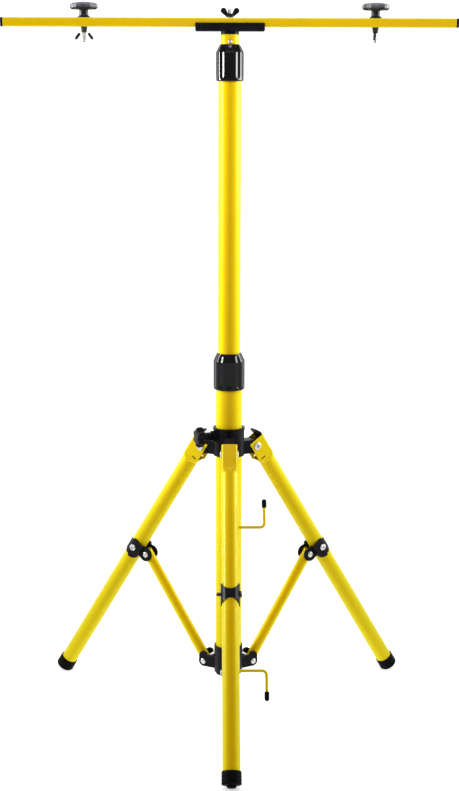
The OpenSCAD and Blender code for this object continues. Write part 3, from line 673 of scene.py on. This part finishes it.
def floor():
    """A round pale floor whose rim fades into the white background."""
    radius, fade_start, fade_end = 12.0, 0.55, 1.6
    bm = bmesh.new()
    bmesh.ops.create_circle(bm, cap_ends=True, segments=96, radius=radius)
    mesh = bpy.data.meshes.new("floor")
    bm.to_mesh(mesh)
    bm.free()
    made = bpy.data.objects.new("floor", mesh)
    bpy.context.scene.collection.objects.link(made)
    s = Shader("pale_floor")
    distance = s.add("ShaderNodeVectorMath", {0: s.place}, operation="LENGTH").outputs["Value"]
    direction = s.add("ShaderNodeVectorMath", {0: s.place}, operation="NORMALIZE").outputs["Vector"]
    y = s.component(direction, "Y")
    grain = s.ramp(s.noise(35, 4), 0.3, 0.7)
    s.set(Base_Color=s.mix(grain, rgb(0.93, 0.93, 0.93), rgb(0.96, 0.96, 0.96)), Roughness=0.6)
    s.set(Emission_Color=WHITE, Emission_Strength=FLOOR_GLOW)
    seen = s.add("ShaderNodeLightPath").outputs["Is Camera Ray"]
    light = s.ramp(y, TURN_FROM, TURN_TO, FLOOR_FRONT, FLOOR_BACK)
    inputs = {"Factor": seen, "A": light, "B": 1.0}
    strength = s.add("ShaderNodeMix", inputs, data_type="FLOAT").outputs[0]
    glow = s.add("ShaderNodeEmission", {"Color": WHITE, "Strength": strength}).outputs[0]
    unseen = s.maths("SUBTRACT", 1.0, seen)
    share = s.maths("MAXIMUM", s.ramp(distance, fade_start, fade_end), unseen)
    mixed = s.add("ShaderNodeMixShader", {0: share, 1: s.bsdf.outputs[0], 2: glow}).outputs[0]
    s.put(s.tree.nodes["Material Output"].inputs["Surface"], mixed)
    made.data.materials.append(s.material)


def surroundings():
    """White to the camera. As light it is bright behind and beside the object and dim in front."""
    world = bpy.data.worlds.new("studio")
    bpy.context.scene.world = world
    world.use_nodes = True
    tree = world.node_tree
    tree.nodes.clear()

    def add(kind, inputs, **settings):
        node = tree.nodes.new(kind)
        for key, value in settings.items():
            setattr(node, key, value)
        for key, value in inputs.items():
            if isinstance(value, bpy.types.NodeSocket):
                tree.links.new(value, node.inputs[key])
            else:
                node.inputs[key].default_value = value
        return node

    direction = add("ShaderNodeTexCoord", {}).outputs["Generated"]
    y = add("ShaderNodeSeparateXYZ", {"Vector": direction}).outputs["Y"]
    z = add("ShaderNodeSeparateXYZ", {"Vector": direction}).outputs["Z"]

    def ramp(value, low, high, to_low, to_high):
        inputs = {"Value": value, "From Min": low, "From Max": high,
                  "To Min": to_low, "To Max": to_high}
        return add("ShaderNodeMapRange", inputs, interpolation_type="SMOOTHSTEP").outputs[0]

    def maths(operation, a, b):
        return add("ShaderNodeMath", {0: a, 1: b}, operation=operation).outputs[0]

    def choose(share, a, b):
        inputs = {"Factor": share, "A": a, "B": b}
        return add("ShaderNodeMix", inputs, data_type="FLOAT").outputs[0]

    overhead = ramp(z, 0.72, 0.92, 0.0, OVERHEAD_GLOSS)
    gloss = maths("ADD", ramp(y, TURN_FROM, TURN_TO, FRONT_GLOSS, BACK_GLOSS), overhead)
    dimmer = ramp(z, 0.3, 0.8, 1.0, OVERHEAD_DIM)
    light = maths("MULTIPLY", ramp(y, TURN_FROM, TURN_TO, FRONT_LIGHT, BACK_LIGHT), dimmer)
    path = add("ShaderNodeLightPath", {})
    lit = choose(path.outputs["Is Glossy Ray"], light, gloss)
    strength = choose(path.outputs["Is Camera Ray"], lit, 1.0)
    back = add("ShaderNodeBackground", {"Color": WHITE, "Strength": strength}).outputs[0]
    add("ShaderNodeOutputWorld", {"Surface": back})


def softbox(name, place, target, width, height, power, spread):
    """A rectangular light at place that points at target and that the camera doesn't see."""
    data = bpy.data.lights.new(name, "AREA")
    data.shape = "RECTANGLE"
    data.size, data.size_y, data.energy = width, height, power
    data.spread = math.radians(spread)
    made = bpy.data.objects.new(name, data)
    bpy.context.scene.collection.objects.link(made)
    made.location = place
    made.rotation_euler = (Vector(target) - Vector(place)).to_track_quat("-Z", "Y").to_euler()
    made.visible_camera = False


def camera():
    """Stands in front, a little left of the mast and below the crossbar, and looks down."""
    distance, azimuth, tilt, roll, below_bar = 2.2705, -0.92, 11.165, 0.15, 72.3 * MM
    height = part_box("crossbar")[0].z - below_bar
    data = bpy.data.cameras.new("camera")
    data.sensor_width, data.lens, data.shift_x = 36.0, 72.69, 0.0006
    made = bpy.data.objects.new("camera", data)
    bpy.context.scene.collection.objects.link(made)
    turn = math.radians(azimuth)
    x, y = MAST.x + math.sin(turn) * distance, MAST.y - math.cos(turn) * distance
    look_down = Matrix.Rotation(math.radians(90 - tilt), 4, "X")
    made.matrix_world = upright(x, y, height) @ spin(azimuth) @ look_down @ spin(roll)
    bpy.context.scene.camera = made


# The light changes from front to back between these two values of a direction's Y
TURN_FROM, TURN_TO = -0.1, 0.35
# As light, in what a glossy surface mirrors, and from the floor
FRONT_LIGHT, BACK_LIGHT = 0.26, 1.1
FRONT_GLOSS, BACK_GLOSS = 0.30, 1.0
FLOOR_FRONT, FLOOR_BACK = 0.66, 0.9
OVERHEAD_DIM, OVERHEAD_GLOSS = 0.5, 0.15
FLOOR_GLOW = 0.45
STRIP_SPREAD, OPEN_SPREAD = 75, 180

floor()
surroundings()
softbox("strip_left", (-1.9, 0.06, 1.2), (0, 0, 1.15), 0.3, 1.1, 8.5, STRIP_SPREAD)
softbox("strip_right", (1.9, 0.2, 1.2), (0, 0, 1.15), 1.4, 1.1, 9, STRIP_SPREAD)
softbox("top_front", (0, -0.55, 1.45), (0, 0, 1.0), 0.8, 0.2, 2.5, OPEN_SPREAD)
camera()
bpy.context.scene.view_settings.view_transform = "Standard"
bpy.context.scene.view_settings.look = "Medium High Contrast"
